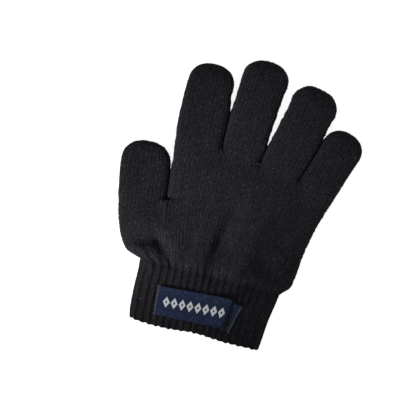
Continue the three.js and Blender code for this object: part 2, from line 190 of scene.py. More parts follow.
# Cuff
RIB_DEPTH = 0.95
RIB_FADE = 0.2  # rows of the hand over which the ribs die away
EDGE_WAVE = 0.32  # how far each rib's end stands down, and the grooves beside it up
EDGE_WAVE_STRAY = 0.6  # share of that by which the ribs' ends differ
EDGE_WAVE_REACH = 6  # how far up the cuff the waves die away
CUFF_TOP = 40
CUFF = table("y left right crown", [
    (0, -46.3, 46.8, 12),
    (6, -47.6, 47.5, 12.2),
    (20, -48.6, 48.5, 12.6),
    (33, -48.9, 50.4, 12.9),
    (CUFF_TOP, -49.6, 51.3, 13),
])
# y of the cuff's lower edge, across its width
LOWER_EDGE = table("x y", [(-50, -0.3), (-38, -2), (-18, -1.8), (0, 0), (22, -0.9), (36, -0.7), (50, -0.6)])
LOWER_EDGE_REACH = 12

# Label sections from left to right: lower end x, y and lift over the ribs, then upper end
LABEL_THICK = 0.5
LABEL = table("place low_x low_y low_lift high_x high_y high_lift", [
    (0, -29.8, 5, 0.7, -31.8, 25, 0.7),
    (1, -18, 5.6, 0.7, -20, 26, 0.7),
    (2, -6, 6.2, 0.7, -7, 27.1, 0.7),
    (3, 6, 7, 1.3, 6, 28.2, 0.9),
    (4, 12.5, 7.6, 2.5, 13.2, 28.6, 1.7),
    (5, 16.6, 8, 3.7, 18, 28.8, 2.4),
    (6, 18.2, 8, 3.6, 19.6, 28.6, 2.4),
    (7, 18.8, 7.8, 2.7, 20.2, 28.2, 1.9),
    (8, 18.4, 7.5, 1.6, 20.3, 27.8, 1.2),
    (9, 18.6, 7.2, 0.8, 21, 27.3, 0.8),
    (10, 19.8, 6.8, 0.7, 22.4, 27, 0.7),
    (11, 22.8, 6, 0.7, 27.3, 26, 0.7),
])
LABEL_END = 11.0  # the last place
LABEL_RUN = 58.4  # length of the flat tape
LABEL_WIDTH = 20.6
LABEL_FACE = 49.0  # length of the face, up to where the tape turns down at its crest

# Stitches on the stalls' edges
SCALLOP_ROWS = 400
SCALLOP_MEAN = 0.16
SCALLOP_TURN = 0.12  # every second row stands out more by this, and the others less
SCALLOP_STRAY = 0.26  # how far single stitches stray from that
# y up to which each stall's left and right side press on the next stall
TOUCHING = [(0, 114), (114, 160), (160, 142), (142, 157), (157, 0)]
PRESSED = 0.52  # how far the sides that press on each other stand out to meet
PRESSED_REACH = 6  # and over how much of y that dies away
EDGE_POWER = 12  # the higher, the closer this relief stays to the edge itself
EDGE_REACH = 0.1  # rows of the hand over which it begins

# Mesh fineness
BACK_COLUMNS = 60  # across each strip
PALM_COLUMNS = 44
ROWS_PER_COURSE = 2
INNER_ROWS_PER_COURSE = 0.4
CUFF_INNER_ROWS = 9
BODY_COURSES = 25  # from one counted row to the next
LABEL_ROWS = 24
LABEL_STEPS = 110


def mix(a, b, t):
    return a + (b - a) * t


def smooth(start, end, value):
    t = np.clip((value - start) / (end - start), 0, 1)
    return t * t * (3 - 2 * t)


def rounded(share, power):
    """How far a rounded section still stands off its edge at a share of its half width."""
    return (1 - np.minimum(1, np.abs(share)) ** power) ** (1 / power)


# One skin of the knit: its inset from the wall's outside, and its rows of solid web at a crotch
Layer = namedtuple("Layer", "inset web")
OUTER = Layer(0, 0)
INNER = Layer(WALL, WEB)


def height(side, layer, crown, share, power, lift=0.0):
    """Height of a layer. The palm is pressed flat, and held off the surface by its lift."""
    if side == "back":
        return MID + (crown - layer.inset - MID) * rounded(share, power["back"])
    level = layer.inset + lift
    return np.maximum(level, MID + (level - SQUASH - MID) * rounded(share, power["palm"]))


def even_shares(columns, half, rise, power):
    """Shares of a section's half width that lie evenly along its curve."""
    steps = 240
    cosine = np.cos(np.pi * (1 - np.arange(steps + 1) / steps))
    shares = np.sign(cosine) * np.abs(cosine) ** (2 / power)
    moves = np.hypot(half * np.diff(shares), rise * np.diff(rounded(shares, power)))
    lengths = np.concatenate([[0], np.cumsum(moves)])
    return np.interp(np.linspace(0, lengths[-1], columns + 1), lengths, shares)


def stall_shares(side, layer, crown, half, columns):
    level = layer.inset if side == "palm" else crown - layer.inset
    return even_shares(columns, half, abs(level - MID), STALL_POWER[side])


def crowded(strip, fraction, thumb_parted):
    """A fraction across a strip, with its columns crowded towards the glove's outer edges."""
    left = CROWDING if strip == 0 else CROWDING * thumb_parted if strip == 1 else 0
    right = CROWDING if strip == STRIPS - 1 else 0
    return fraction - left * fraction * (1 - fraction) ** 3 + right * (1 - fraction) * fraction ** 3


def fold_depth(x, y):
    depth = 0
    for from_x, from_y, to_x, to_y, before, past, deep, left in FOLDS:
        run_x, run_y = to_x - from_x, to_y - from_y
        t = np.clip(((x - from_x) * run_x + (y - from_y) * run_y) / (run_x ** 2 + run_y ** 2), 0, 1)
        off_x, off_y = x - from_x - t * run_x, y - from_y - t * run_y
        off = np.hypot(off_x, off_y)
        turned = (run_x * off_y - run_y * off_x) / (np.hypot(run_x, run_y) * np.maximum(off, 1e-6))
        width = mix(before, past, (turned + 1) / 2)
        grown = mix(FOLD_BEGUN, 1, smooth(0, FOLD_GROWN, t))
        waned = mix(1, left, smooth(FOLD_WANES, 1, t))
        depth = depth + deep * grown * waned * np.exp(-((off / width) ** 2))
    return depth


def rib_depth(fraction):
    return (RIB_DEPTH / 2) * (1 - np.cos(2 * np.pi * RIBS * fraction))


def closing(row, crotch, layer):
    """How far a strip has closed into a stall: late and round at the crotch, and even elsewhere."""
    end = crotch - layer.web
    late = min(max((row - end) / CROTCH_REACH[crotch] + 1, 0), 1)
    return 1 - math.sqrt(1 - late ** 2), float(smooth(end - STALL_REACH, end, row))


def edge_at(edge, row):
    return np.array([along(ROW_X, EDGES[edge], row), along(ROW_Y, EDGES[edge], row)])


def strip_ends(layer, strip, row):
    """A strip's left and right ends. An edge that is shared inside the hand has no wall."""
    left, right = edge_at(strip, row), edge_at(strip + 1, row)
    across = (right - left) / np.linalg.norm(right - left)

    def wall_at(edge):
        if edge in (0, STRIPS):
            return layer.inset
        crotch = 1 if edge == 1 else 2
        return layer.inset * smooth(crotch - WEB, crotch, row)

    return left + across * wall_at(strip), right - across * wall_at(strip + 1)


def palm_lift(row):
    return DOT_HEIGHT * float(smooth(0, LIFT_REACH, row))


def body_line(side, layer, strip, row, columns):
    """A line of points across a strip of the hand, at a row from the cuff to the crotch."""
    stall = STALLS[strip]
    left, right = strip_ends(layer, strip, row)
    thumb, fingers = closing(row, 1, layer), closing(row, 2, layer)
    own = thumb if strip == 0 else fingers
    fraction = np.arange(columns + 1) / columns
    body = 2 * crowded(strip, fraction, thumb[1]) - 1
    half = np.linalg.norm(right - left) / 2
    share = mix(body, stall_shares(side, layer, stall["crown"], half, columns), own[1])
    place = left + (right - left) * ((share + 1) / 2)[:, None]
    x, y = place[:, 0], place[:, 1]
    crown = along(CROWN, "height", row)
    lift = palm_lift(row)

    def across(first_strip):
        """The round of the whole hand from a strip to the last one, flatter beside the thumb."""
        start = strip_ends(layer, first_strip, row)[0][0]
        end = strip_ends(layer, STRIPS - 1, row)[1][0]
        place_across = 2 * (x - start) / (end - start) - 1
        level = height(side, layer, crown, place_across, BODY_POWER, lift)
        if first_strip == 0:
            return level
        flat = height(side, layer, crown, place_across, BESIDE_THUMB_POWER, lift)
        return np.where(place_across < 0, flat, level)

    def settled(close, near_crotch):
        """The even closing away from a crotch, and the late one beside it."""
        return mix(close[1], close[0], near_crotch ** 4)

    near_thumb = (1 - share) / 2 if strip == 1 else 0
    z = across(0) if row < 1 else 0
    if strip > 0:
        z = mix(z, across(1), settled(thumb, near_thumb))
    z = mix(z, height(side, layer, stall["crown"], share, STALL_POWER, lift), settled(own, share))
    if side == "back":
        z = z - fold_depth(x, y) * smooth(MID, MID + FOLD_CLEAR, z) * (1 - own[1])
    if layer is OUTER:
        ribs = rib_depth(fraction) * (1 - smooth(0, RIB_FADE, row))
        z = z - ribs if side == "back" else z + ribs
    return np.stack([x, y, z], axis=1)


def stall_sections(strip):
    """A stall's sections from its crotch up, as a table along the distance run."""
    left, right = strip_ends(OUTER, strip, STALLS[strip]["crotch"])
    tilt = math.degrees(math.atan2(left[1] - right[1], right[0] - left[0]))
    middle = (left + right) / 2
    rows = [(0.0, middle[0], middle[1], np.linalg.norm(right - left) / 2, tilt)]
    for x, y, half, tilt in STALLS[strip]["sections"]:
        run = rows[-1][0] + math.hypot(x - rows[-1][1], y - rows[-1][2])
        rows.append((run, x, y, half, tilt))
    return table("run x y half tilt", rows), rows[-1][0]


def stall_place(sections, run, sideways, onward):
    """A place on a stall: up its sections, then sideways and onward as it is tilted there."""
    tilt = np.radians(along(sections, "tilt", run))
    x = along(sections, "x", run) + sideways * np.cos(tilt) + onward * np.sin(tilt)
    y = along(sections, "y", run) - sideways * np.sin(tilt) + onward * np.cos(tilt)
    return x, y


def stall_line(side, layer, strip, sections, run, tip, columns):
    """A line of points across a stall: run up its sections, or a share of its rounded tip."""
    stall = STALLS[strip]
    half = along(sections, "half", run) - layer.inset
    share = stall_shares(side, layer, stall["crown"], half, columns)
    z = height(side, layer, stall["crown"], share, STALL_POWER, palm_lift(1))
    sideways = share * half * rounded(tip, TIP_POWER)
    x, y = stall_place(sections, run, sideways, tip * (stall["tip"] - layer.inset))
    return np.stack([x, y, MID + (z - MID) * rounded(tip, stall["blunt"])], axis=1)


def cuff_ends(layer, y):
    return along(CUFF, "left", y) + layer.inset, along(CUFF, "right", y) - layer.inset


def cuff_height(side, layer, x, y):
    left, right = cuff_ends(layer, y)
    share = 2 * (x - left) / (right - left) - 1
    return height(side, layer, along(CUFF, "crown", y), share, BODY_POWER)


def cuff_line(side, layer, strip, y, columns):
    fraction = np.arange(columns + 1) / columns
    left, right = cuff_ends(layer, y)
    x = mix(left, right, (strip + crowded(strip, fraction, 0)) / STRIPS)
    z = cuff_height(side, layer, x, y)
    if side == "back":
        z = z - fold_depth(x, y) * smooth(MID, MID + FOLD_CLEAR, z)
    if layer is OUTER:
        z = z - rib_depth(fraction) if side == "back" else z + rib_depth(fraction)
    lower = along(LOWER_EDGE, "y", x) * (1 - smooth(0, LOWER_EDGE_REACH, y))
    waves = EDGE_WAVE * np.cos(2 * np.pi * RIBS * fraction) * (1 - smooth(0, EDGE_WAVE_REACH, y))
    waves = waves * (1 + EDGE_WAVE_STRAY * np.sin(0.7 * x + 1.1 * strip))
    return np.stack([x, y + lower - waves, z], axis=1)


def knit_relief(wale):
    """Height of the round wales. Single stitches are left to the material."""
    off = 2 * np.abs(wale - np.round(wale))
    return WALE_RELIEF * (1 - off ** WALE_POWER)


def unit(vectors):
    return vectors / np.linalg.norm(vectors, axis=-1)[..., None]


def grid_faces(number):
    """The faces of a grid of numbered points."""
    corners = [number[:-1, :-1], number[:-1, 1:], number[1:, 1:], number[1:, :-1]]
    return np.stack(corners, axis=-1).reshape(-1, 4)


def new_mesh(name, points, faces):
    """A mesh in metres, from points in the tables' own sizes."""
    mesh = bpy.data.meshes.new(name)
    mesh.from_pydata(((points - ORIGIN) * MM).tolist(), [], faces)
    return mesh


def set_map(mesh, name, places):
    """Gives a mesh its places on the cloth, one for each corner of each face."""
    layer = mesh.uv_layers.new(name=name)
    layer.data.foreach_set("uv", places.astype(np.float32).reshape(-1))


class Shell:
    """Gathers grids of points with their wale and course numbers, and welds them into one mesh."""

    def __init__(self):
        self.points, self.stitches, self.faces, self.knitted, self.edges = [], [], [], [], []
        self.count = 0

    def add(self, lines, wales, courses, turned, knitted=True, edges=None):
        """A grid of points, one line a row. Faces look along +Z where it isn't turned."""
        grid = np.array(lines)
        rows, columns = grid.shape[:2]
        number = self.count + np.arange(rows * columns).reshape(rows, columns)
        quads = grid_faces(number)
        self.faces.append(quads[:, ::-1] if turned else quads)
        self.points.append(grid.reshape(-1, 3))
        self.stitches.append(np.stack([wales, courses], axis=-1).reshape(-1, 2))
        self.knitted.append(np.full(rows * columns, float(knitted)))
        self.edges.append(np.zeros(rows * columns) if edges is None else np.array(edges).reshape(-1))
        self.count += rows * columns

    def make(self, name, material):
        points = np.concatenate(self.points)
        stitches = np.concatenate(self.stitches)
        faces = np.concatenate(self.faces)
        relief = knit_relief(stitches[:, 0]) - RELIEF_MEAN
        knitted = np.concatenate(self.knitted)
        relief = (relief + np.concatenate(self.edges)) * knitted
        _, first, welded = np.unique(np.round(points, 3), axis=0, return_index=True, return_inverse=True)
        welded = welded.reshape(-1)
        joined = np.bincount(welded)
        relief = np.bincount(welded, weights=relief) / joined
        relief += RANDOM.normal(0, FUZZ, len(relief)) * (np.bincount(welded, weights=knitted) == joined)
        corners = points[first]
        quads = welded[faces]
        first_diagonal = corners[quads[:, 2]] - corners[quads[:, 0]]
        second_diagonal = corners[quads[:, 3]] - corners[quads[:, 1]]
        crossed = np.cross(first_diagonal, second_diagonal)
        normals = np.zeros_like(corners)
        for corner in range(4):
            np.add.at(normals, quads[:, corner], crossed)
        normals /= np.maximum(np.linalg.norm(normals, axis=1), 1e-9)[:, None]
        corners = corners + normals * relief[:, None]
        corners[:, 2] = np.maximum(corners[:, 2], FLOOR_GAP)
        polygons, uvs = [], []
        for quad, source in zip(quads.tolist(), faces.tolist()):
            kept = [i for i in range(4) if quad[i] != quad[i - 1]]
            if len(kept) < 3:
                continue
            polygons.append([quad[i] for i in kept])
            uvs.extend(source[i] for i in kept)
        mesh = new_mesh(name, corners, polygons)
        set_map(mesh, "stitches", stitches[uvs])
        return add_mesh(name, mesh, material)


def add_mesh(name, mesh, material):
    """A new piece from a finished mesh. It rides on the glove's only body."""
    piece = bpy.data.objects.new(name, mesh)
    bpy.context.collection.objects.link(piece)
    mesh.materials.append(material)
    bpy.ops.object.select_all(action="DESELECT")
    piece.select_set(True)
    bpy.context.view_layer.objects.active = piece
    bpy.ops.object.shade_smooth_by_angle(angle=math.radians(70))
    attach(piece, "root")
    return piece


def scallops(rows):
    """How far the stitches on an edge stand out, row by row: a bump every course or two."""
    bumps = RANDOM.normal(0, 1, rows + 2)
    bumps = (bumps[:-2] + 1.6 * bumps[1:-1] + bumps[2:]) / 3.6
    return SCALLOP_MEAN + SCALLOP_TURN * np.cos(np.pi * np.arange(rows)) + SCALLOP_STRAY * bumps


SCALLOPS = [scallops(SCALLOP_ROWS) for _ in range(STRIPS)]


def edge_relief(strip, line, centred, number):
    """The stitches on a strip's two edges: they bump out, and press together in a crease."""
    left, right = TOUCHING[strip]
    y = line[:, 1]
    pressed = PRESSED * (1 - smooth(-PRESSED_REACH, 0, y - np.where(centred < 0, left, right)))
    return np.abs(2 * centred) ** EDGE_POWER * (SCALLOPS[strip][number] + pressed)


def hand_lines(side, layer, strip, columns, per_course):
    """All the lines of one strip on one side and layer, with its wales and courses."""
    stall = STALLS[strip]
    crotch = stall["crotch"]
    count = int(BODY_COURSES * crotch * per_course)
    centred = np.arange(columns + 1) / columns - 0.5
    lines, wales, courses, edges = [], [], [], []
    for i in range(count + 1):
        row = crotch * i / count
        lines.append(body_line(side, layer, strip, row, columns))
        wales.append(along(WALES, stall["name"], row) * centred)
        courses.append(np.full(columns + 1, BODY_COURSES * row))
        left_free = strip == 0 or strip == 1 and row > 1
        right_free = strip == STRIPS - 1
        outside = (centred < 0) * left_free + (centred > 0) * right_free
        edges.append(outside * edge_relief(strip, lines[-1], centred, i) * smooth(0, EDGE_REACH, row))
    sections, straight = stall_sections(strip)
    across = along(WALES, stall["name"], crotch) * centred
    steps = max(3, round(straight / COURSE * per_course))
    tip_steps = max(4, round(TIP_ARC * stall["tip"] / COURSE * per_course))
    ups = [(straight * i / steps, 0.0) for i in range(1, steps + 1)]
    ups += [(straight, math.sin(math.pi / 2 * i / tip_steps)) for i in range(1, tip_steps + 1)]
    for i, (run, tip) in enumerate(ups):
        lines.append(stall_line(side, layer, strip, sections, run, tip, columns))
        wales.append(across)
        courses.append(np.full(columns + 1, BODY_COURSES * crotch + (i + 1) / per_course))
        edges.append(edge_relief(strip, lines[-1], centred, count + 1 + i))
    return lines, wales, courses, edges


def make_hand(material):
    shell = Shell()
    for strip in range(STRIPS):
        for side, columns in (("back", BACK_COLUMNS), ("palm", PALM_COLUMNS)):
            palm = side == "palm"
            outer = hand_lines(side, OUTER, strip, columns, ROWS_PER_COURSE)
            inner = hand_lines(side, INNER, strip, columns, INNER_ROWS_PER_COURSE)
            shell.add(*outer[:3], turned=palm, edges=outer[3])
            shell.add(*inner[:3], turned=not palm, knitted=False)
            rim = [inner[0][0], outer[0][0]]
            shell.add(rim, [outer[1][0]] * 2, [outer[2][0]] * 2, turned=palm)
    return shell.make("hand_knit", material)


def make_cuff(material):
    shell = Shell()
    rows = round(CUFF_TOP / COURSE * ROWS_PER_COURSE)
    heights = {
        OUTER: np.linspace(0, CUFF_TOP, rows + 1),
        INNER: np.linspace(0, CUFF_TOP, CUFF_INNER_ROWS),
    }
    for strip in range(STRIPS):
        for side, columns in (("back", BACK_COLUMNS), ("palm", PALM_COLUMNS)):
            palm = side == "palm"
            wales = 2 * RIBS * (np.arange(columns + 1) / columns - 0.5)
            ends = {}
            for layer, knitted in ((OUTER, True), (INNER, False)):
                lines = [cuff_line(side, layer, strip, y, columns) for y in heights[layer]]
                courses = [np.full(columns + 1, (y - CUFF_TOP) / COURSE) for y in heights[layer]]
                turned = palm if layer is OUTER else not palm
                shell.add(lines, [wales] * len(lines), courses, turned, knitted)
                ends[layer] = lines
            for end, turned in ((0, palm), (-1, not palm)):
                rim = [ends[INNER][end], ends[OUTER][end]]
                shell.add(rim, [wales] * 2, [np.zeros(columns + 1)] * 2, turned)
    return shell.make("rib_cuff_knit", material)


# Label
def label_line(across, places):
    """The label's middle line at a share of its width."""
    x, y, lift = (
        mix(along(LABEL, "low_" + name, places), along(LABEL, "high_" + name, places), across)
        for name in ("x", "y", "lift")
    )
    return np.stack([x, y, cuff_height("back", OUTER, x, y) + lift], axis=1)


def make_label(material):
    """A ribbon of woven tape with its own sizes as its map: millimetres along it and across it."""
    places = np.linspace(0, LABEL_END, LABEL_STEPS + 1)
    middle = np.array([label_line(i / LABEL_ROWS, places) for i in range(LABEL_ROWS + 1)])
    ahead = np.gradient(middle, axis=1)
    normal = unit(np.stack([-ahead[..., 2], np.zeros(ahead.shape[:2]), ahead[..., 0]], axis=-1))
    centre = middle[LABEL_ROWS // 2]
    run = np.concatenate([[0], np.cumsum(np.linalg.norm(np.diff(centre, axis=0), axis=1))])
    width = float(np.linalg.norm(middle[-1] - middle[0], axis=1).mean())
    rows, steps = middle.shape[:2]
    upper = (middle + normal * LABEL_THICK / 2).reshape(-1, 3)
    lower = (middle - normal * LABEL_THICK / 2).reshape(-1, 3)
    number = np.arange(rows * steps).reshape(rows, steps)
    under = number + rows * steps
    top = grid_faces(number)
    bottom = (top + rows * steps)[:, ::-1]

    def side_faces(first, second):
        return np.stack([first[:-1], first[1:], second[1:], second[:-1]], axis=-1)

    sides = [
        side_faces(under[0], number[0]),
        side_faces(number[-1], under[-1]),
        side_faces(number[:, 0], under[:, 0]),
        side_faces(under[:, -1], number[:, -1]),
    ]
    faces = np.concatenate([top, bottom, *sides])
    mesh = new_mesh("label_tape", np.concatenate([upper, lower]), faces.tolist())
    across = np.linspace(0, width, rows)
    flat = np.stack(np.meshgrid(run, across), axis=-1).reshape(-1, 2)
    set_map(mesh, "tape", np.tile(flat, (2, 1))[faces.reshape(-1)])
    piece = add_mesh("label_tape", mesh, material)
    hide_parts("label")


# Grip dots
DOT_RADIUS = 1.0
DOT_ACROSS = 4.1
DOT_ALONG = 4.9
DOT_SHIFT = 2  # of the palm's columns towards the little finger
DOT_SUNK = 0.25  # depth of each dome's foot in the knit
DOT_REACH = 1.1  # nothing is printed where the palm stands higher than this
DOT_TIP_CLEAR = 4.5
DOT_SIDE_CLEAR = 3.6
DOTS_BEGIN = 54  # least y of the palm's dots in the middle of the glove
DOTS_SLANT = 0.06  # how much that y rises with each millimetre to the right
DOTS_END = table("x y", [(-60, 78), (-45, 82), (-30, 124), (0, 123), (30, 119), (45, 116), (70, 108)])
PALM_GRID = {"columns": range(-19, 17), "steps": range(12, 28)}
STALL_GRID = {"columns": range(-4, 5), "steps": range(2, 20)}
FAR_AWAY = 40.0


def set_off(column, step):
    """Distance of a dot along its column. Every second column is set off by half a step."""
    return (step + (column % 2) / 2) * DOT_ALONG


def dot_places():
    """Places of the printed dots: a staggered grid on the palm, and one along each stall."""
    places = []
    for column in PALM_GRID["columns"]:
        for step in PALM_GRID["steps"]:
            x = column * DOT_ACROSS + DOT_SHIFT
            y = set_off(column, step)
            if DOTS_BEGIN + DOTS_SLANT * x < y < np.interp(x, *DOTS_END["y"]):
                places.append((x, y))
    for strip, stall in enumerate(STALLS):
        sections, straight = stall_sections(strip)
        reach = straight + stall["tip"] - DOT_TIP_CLEAR
        for step in STALL_GRID["steps"]:
            for column in STALL_GRID["columns"]:
                run = set_off(column, step)
                past = max(0.0, run - straight)
                half = along(sections, "half", run) * rounded(past / stall["tip"], TIP_POWER)
                off = column * DOT_ACROSS
                if run > reach or abs(off) > half - DOT_SIDE_CLEAR:
                    continue
                places.append(stall_place(sections, run, off, past))
    return places


def knit_tree(hand):
    """What knit_height needs to find the knit."""
    return BVHTree.FromObject(hand, bpy.context.evaluated_depsgraph_get())


def knit_height(tree, x, y, upwards):
    """Height at which a vertical line from far below or far above meets the knit, or None."""
    start = (np.array([x, y, -FAR_AWAY if upwards else FAR_AWAY]) - ORIGIN) * MM
    hit = tree.ray_cast(Vector(start), Vector((0, 0, 1 if upwards else -1)))[0]
    return None if hit is None else hit.z / MM


def make_dots(material, hand):
    """Domes of silicone, printed on the palm: one is modelled and copied to each place."""
    bpy.ops.mesh.primitive_uv_sphere_add(segments=10, ring_count=6, radius=DOT_RADIUS)
    dome = bpy.context.object
    bpy.ops.object.mode_set(mode="EDIT")
    bpy.ops.mesh.select_all(action="SELECT")
    bpy.ops.mesh.bisect(plane_co=(0, 0, 0), plane_no=(0, 0, 1), use_fill=True, clear_outer=True)
    bpy.ops.object.mode_set(mode="OBJECT")
    shape = np.array([v.co[:] for v in dome.data.vertices])
    shape[:, 2] *= (DOT_HEIGHT + DOT_SUNK) / DOT_RADIUS
    dome_faces = [list(p.vertices) for p in dome.data.polygons]
    bpy.data.objects.remove(dome, do_unlink=True)

    tree = knit_tree(hand)
    points, faces = [], []
    for x, y in dot_places():
        palm = knit_height(tree, x, y, upwards=True)
        if palm is None or palm > DOT_REACH:
            continue
        size = RANDOM.uniform(0.88, 1.08)
        turn = RANDOM.uniform(0, math.pi)
        turned = shape @ np.array([
            [math.cos(turn), math.sin(turn), 0],
            [-math.sin(turn), math.cos(turn), 0],
            [0, 0, 1],
        ])
        place = np.array([x, y, DOT_HEIGHT + DOT_SUNK])
        start_index = len(points) * len(shape)
        points.append(turned * [size, size, 1] + place)
        faces.extend([[start_index + i for i in face] for face in dome_faces])
    mesh = new_mesh("grip_dots", np.concatenate(points), faces)
    add_mesh("grip_dots", mesh, material)


# Threads
THREADS_PER_END = 40
FRAYED_RADIUS = 0.12
FRAYED_HELD = 0.6  # length of each frayed thread inside the tape
KNOT_RADIUS = 0.24
KNOT_LOOPS = 4  # at each place
KNOT_RISE = 0.5
EDGE_THREAD_COLUMNS = 24  # across each strip
EDGE_THREAD_SIDES = 8
EDGE_THREAD_HALF = (0.95, 0.55)  # half of its size through the wall and along the hand
EDGE_THREAD_DROP = 0.15
NO_THREAD = (0.1, 0.2, 1.0)  # a direction that no thread runs in


def rings(route, side, other, sides):
    """Rings of points round a route, as wide as these two directions are long."""
    angles = 2 * np.pi * np.arange(sides)[:, None] / sides
    return route[:, None] + side[:, None] * np.cos(angles) + other[:, None] * np.sin(angles)


def add_threads(name, routes, radius, material, sides=6):
    """Short threads along routes of points, joined as one piece."""
    points, faces = [], []
    count = 0
    for route in routes:
        route = np.array(route, float)
        ahead = unit(np.gradient(route, axis=0))
        side = radius * unit(np.cross(ahead, NO_THREAD))
        points.append(rings(route, side, np.cross(ahead, side), sides).reshape(-1, 3))
        number = count + np.arange(len(route) * sides).reshape(len(route), sides)
        nxt = np.roll(number, -1, axis=1)
        walls = np.stack([number[:-1], number[1:], nxt[1:], nxt[:-1]], axis=-1).reshape(-1, 4)
        faces.extend(walls.tolist())
        faces.append(number[0].tolist())
        faces.append(number[-1][::-1].tolist())
        count += len(route) * sides
    return add_mesh(name, new_mesh(name, np.concatenate(points), faces), material)


def make_label_threads(material):
    """The pale threads that fray at the label's two cut ends."""
    routes = []
    for place, outward in ((0.0, -1), (LABEL_END, 1)):
        for across in np.linspace(0.01, 0.99, THREADS_PER_END):
            foot = label_line(across, np.array([place]))[0]
            turn = RANDOM.normal(0, 0.5)
            length = RANDOM.uniform(1.0, 1.8)
            direction = np.array([outward * math.cos(turn), math.sin(turn), RANDOM.uniform(-0.1, 0.35)])
            start = foot + [0, 0, LABEL_THICK / 2] - direction * FRAYED_HELD
            bow = np.array([0, 0, RANDOM.uniform(0.05, 0.2)])
            end = start + direction * length
            routes.append([start, (start + end) / 2 + bow, end - bow])
    piece = add_threads("label_end_threads", routes, FRAYED_RADIUS, material, sides=5)


CROTCH_KNOTS = [  # x and y where the crotches are closed by a few loose stitches
    (-40.8, 83.6), (-43.6, 82.4), (-13.2, 125.6), (-11.6, 127),
    (13.4, 124.6), (23.4, 121.6), (43.6, 118.9), (46.4, 117.6),
]


def make_crotch_knots(material, hand):
    """The loose loops of the closing stitches."""
    tree = knit_tree(hand)
    routes = []
    for x, y in CROTCH_KNOTS:
        top = knit_height(tree, x, y, upwards=False)
        for _ in range(KNOT_LOOPS):
            centre = np.array([x, y, top]) + [RANDOM.normal(0, 1.3), RANDOM.normal(0, 0.7), -0.1]
            turn = RANDOM.uniform(0, math.pi)
            size = RANDOM.uniform(0.5, 0.9)
            angles = np.linspace(0, math.pi, 7)
            flat = size * np.cos(angles)[:, None] * np.array([math.cos(turn), math.sin(turn), 0])
            routes.append(centre + flat + np.array([0, 0, KNOT_RISE]) * np.sin(angles)[:, None])
    add_threads("crotch_stitches", routes, KNOT_RADIUS, material)


def make_edge_thread(material):
    """The elastic thread that binds the cuff's lower edge."""
    outline = []
    for side in ("back", "palm"):
        lines = []
        for strip in range(STRIPS):
            skins = [cuff_line(side, layer, strip, 0, EDGE_THREAD_COLUMNS) for layer in (OUTER, INNER)]
            lines.append((sum(skins) / 2)[:-1])
        line = np.concatenate(lines)
        outline.append(line if side == "back" else line[::-1])
    ring = np.concatenate(outline)
    ring[:, 1] -= EDGE_THREAD_DROP
    ahead = unit(np.roll(ring, -1, axis=0) - np.roll(ring, 1, axis=0))
    lengthways = np.zeros_like(ring)
    lengthways[:, 1] = 1
    outward = unit(np.cross(ahead, lengthways))
    through, along_hand = EDGE_THREAD_HALF
    tube = rings(ring, through * outward, along_hand * lengthways, EDGE_THREAD_SIDES)
    number = np.arange(len(ring) * EDGE_THREAD_SIDES).reshape(len(ring), EDGE_THREAD_SIDES)
    forward = np.roll(number, -1, axis=0)
    faces = np.stack([number, np.roll(number, -1, axis=1), np.roll(forward, -1, axis=1), forward], axis=-1)
    mesh = new_mesh("cuff_edge_thread", tube.reshape(-1, 3), faces.reshape(-1, 4).tolist())
    add_mesh("cuff_edge_thread", mesh, material)


# Share of the paler yarn that each grain adds, in the materials
FLECK_TONE = 0.45
CLUMP_TONE = 0.16
STITCH_TONE = 0.26
BRIGHT_TONE = 0.28
BRIGHT_FROM = 0.985  # single stitches drawn above this are bright

# Sizes in the label's weave
LOZENGE_PITCH = 5.6
LOZENGE_MIDDLE = 1.4  # place along the tape of the middle of one lozenge
LOZENGE_HALF = (2.45, 3.9)  # half of its size along the tape and across it
LOZENGE_OPEN = 0.3  # share of it that is open in its middle
LOZENGES_RUN = (4.5, 48.9)  # from where to where they run
SELVEDGE = 4.4  # width of the band of slubs at each edge
TURN_SLANT = 0.09  # how far the turn at the crest leans for each millimetre across the tape
TURN_FADE = 0.8
END_SLANT = 0.23  # and the end of the turned side
END_FADE = 1.2


def linear(code):
    """An sRGB hex colour as linear red, green, blue and alpha."""
    parts = [int(code[i : i + 2], 16) / 255 for i in (1, 3, 5)]
    return tuple(p / 12.92 if p <= 0.04045 else ((p + 0.055) / 1.055) ** 2.4 for p in parts) + (1.0,)


def add_node(material, kind, inputs=(), **settings):
    """Adds a node with its settings and inputs. An input is a value, or an output to link."""
    tree = material.node_tree
    node = tree.nodes.new(kind)
    for name, value in settings.items():
        setattr(node, name, value)
    for name, value in dict(inputs).items():
        if isinstance(value, bpy.types.NodeSocket):
            tree.links.new(value, node.inputs[name])
        else:
            node.inputs[name].default_value = value
    return node


def new_material(name):
    material = bpy.data.materials.new(name)
    material.use_nodes = True
    material.node_tree.nodes.clear()
    return material


def arithmetic(material):
    """A function that adds one step of arithmetic to a material and gives its result."""
    def compute(operation, a, b=0.0, c=0.0):
        return add_node(material, "ShaderNodeMath", {0: a, 1: b, 2: c}, operation=operation).outputs[0]

    return compute


def blend(material, share, first, second):
    """A colour between two others."""
    inputs = {0: share, 6: first, 7: second}
    return add_node(material, "ShaderNodeMix", inputs, data_type="RGBA").outputs[2]


def ramp(material, value, low, high):
    """How far a value is on its way from low to high, from 0 to 1."""
    inputs = {"Value": value, "From Min": low, "From Max": high}
    return add_node(material, "ShaderNodeMapRange", inputs).outputs[0]


def cloth_place(material, name):
    """The place on the cloth, whole and as its parts along the two axes of this map."""
    place = add_node(material, "ShaderNodeUVMap", uv_map=name).outputs[0]
    parts = add_node(material, "ShaderNodeSeparateXYZ", {0: place})
    return place, parts.outputs[0], parts.outputs[1]


def noise(material, grain, detail, roughness=0.5):
    """Cloudy values all through a piece, with a grain of so many millimetres."""
    place = add_node(material, "ShaderNodeTexCoord").outputs["Object"]
    inputs = {"Vector": place, "Scale": 1 / (grain * MM), "Detail": detail, "Roughness": roughness}
    return add_node(material, "ShaderNodeTexNoise", inputs).outputs[0]


